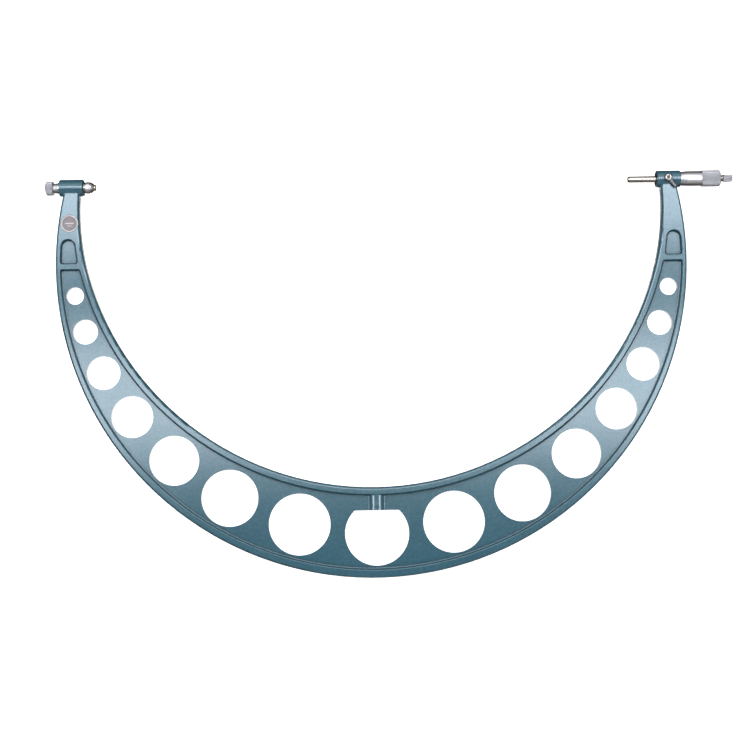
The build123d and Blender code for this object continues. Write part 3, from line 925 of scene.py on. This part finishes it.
def build_lights():
    """The paint mirrors the two overhead boxes: the arms the wide one, the arc's middle the strip."""
    cool, neutral, warm = (0.94, 0.98, 1.03), (0.96, 0.98, 1.0), (1.0, 0.98, 0.95)
    nearly_white = (1.0, 0.99, 0.97)
    box_y, strip_y, overhead_z = 0.645, -0.13, 2.6
    soft_light("key_above", (middle_x, 1.3, 1.5), (middle_x, -0.05, 0), (2.6, 0.8), 7, warm)
    soft_light("overhead", (middle_x, box_y, overhead_z), (middle_x, box_y, 0), (3.0, 0.61), 42, cool)
    soft_light("overhead_strip", (middle_x, strip_y, overhead_z), (middle_x, strip_y, 0), (3.0, 0.37),
               22, neutral)
    for side in (-1, 1):
        soft_light("side", (middle_x + 1.15 * side, -0.45, 1.5), (middle_x, -0.35, 0), (0.3, 0.7), 5,
                   nearly_white)
    soft_light("under_fill", (middle_x, -0.3, -1.8), (middle_x, -0.2, 0), (2.4, 1.2), 16,
               (1.0, 0.99, 0.98))


def build_world():
    """Grey bands by height, from 0 straight down to 1 straight up, for shiny parts to mirror."""
    world = bpy.data.worlds.new("studio")
    world.use_nodes = True
    scene.world = world
    sky = world.node_tree
    background = sky.nodes["Background"]
    direction = sky.nodes.new("ShaderNodeTexCoord")
    axes = sky.nodes.new("ShaderNodeSeparateXYZ")
    height = sky.nodes.new("ShaderNodeMapRange")
    height.inputs["From Min"].default_value = -1.0
    bands = sky.nodes.new("ShaderNodeValToRGB")
    for place, tint in ((0.47, (0.050, 0.036, 0.028, 1)),
                        (0.60, (0.30, 0.27, 0.25, 1)),
                        (0.72, (0.46, 0.46, 0.47, 1)),
                        (0.86, (0.28, 0.29, 0.30, 1)),
                        (0.94, (0.04, 0.05, 0.06, 1))):
        stop = bands.color_ramp.elements.new(place)
        stop.color = tint
    first_stop, last_stop = bands.color_ramp.elements[0], bands.color_ramp.elements[-1]
    bands.color_ramp.elements.remove(last_stop)
    bands.color_ramp.elements.remove(first_stop)
    sky.links.new(direction.outputs["Generated"], axes.inputs[0])
    sky.links.new(axes.outputs["Z"], height.inputs["Value"])
    sky.links.new(height.outputs["Result"], bands.inputs["Fac"])
    sky.links.new(bands.outputs["Color"], background.inputs["Color"])
    background.inputs["Strength"].default_value = 1.0


def floor_paper():
    """White paper that can't be seen from below, so views from behind look through it."""
    paper = Shader("floor_paper")
    paper.set(Base_Color=(0.9, 0.9, 0.9, 1), Roughness=0.9, Emission_Color=(1, 1, 1, 1),
              Emission_Strength=0.9)
    one_way = paper.add("ShaderNodeMixShader")
    paper.put(one_way.inputs[0], paper.add("ShaderNodeNewGeometry").outputs["Backfacing"])
    paper.put(one_way.inputs[1], paper.surface.outputs[0])
    paper.put(one_way.inputs[2], paper.add("ShaderNodeBsdfTransparent").outputs[0])
    paper.put(paper.nodes["Material Output"].inputs["Surface"], one_way.outputs[0])
    return paper.material


def build_floor():
    """The white ground just under the object, which neither lights it nor shows in it."""
    left, right, near, far = -6000, 6700, -6500, 6000
    gap = 0.0004
    bm = bmesh.new()
    corners = ((left, near), (right, near), (right, far), (left, far))
    bm.faces.new([bm.verts.new((x, y, 0)) for x, y in corners])
    floor = add_object("floor", bm)
    floor.location.z = lowest_z - gap
    floor.data.materials.append(floor_paper())
    floor.visible_diffuse = False
    floor.visible_shadow = False
    floor.visible_glossy = False


build_camera()
build_lights()
build_world()
build_floor()

scene.view_settings.view_transform = "Standard"
scene.view_settings.look = "None"
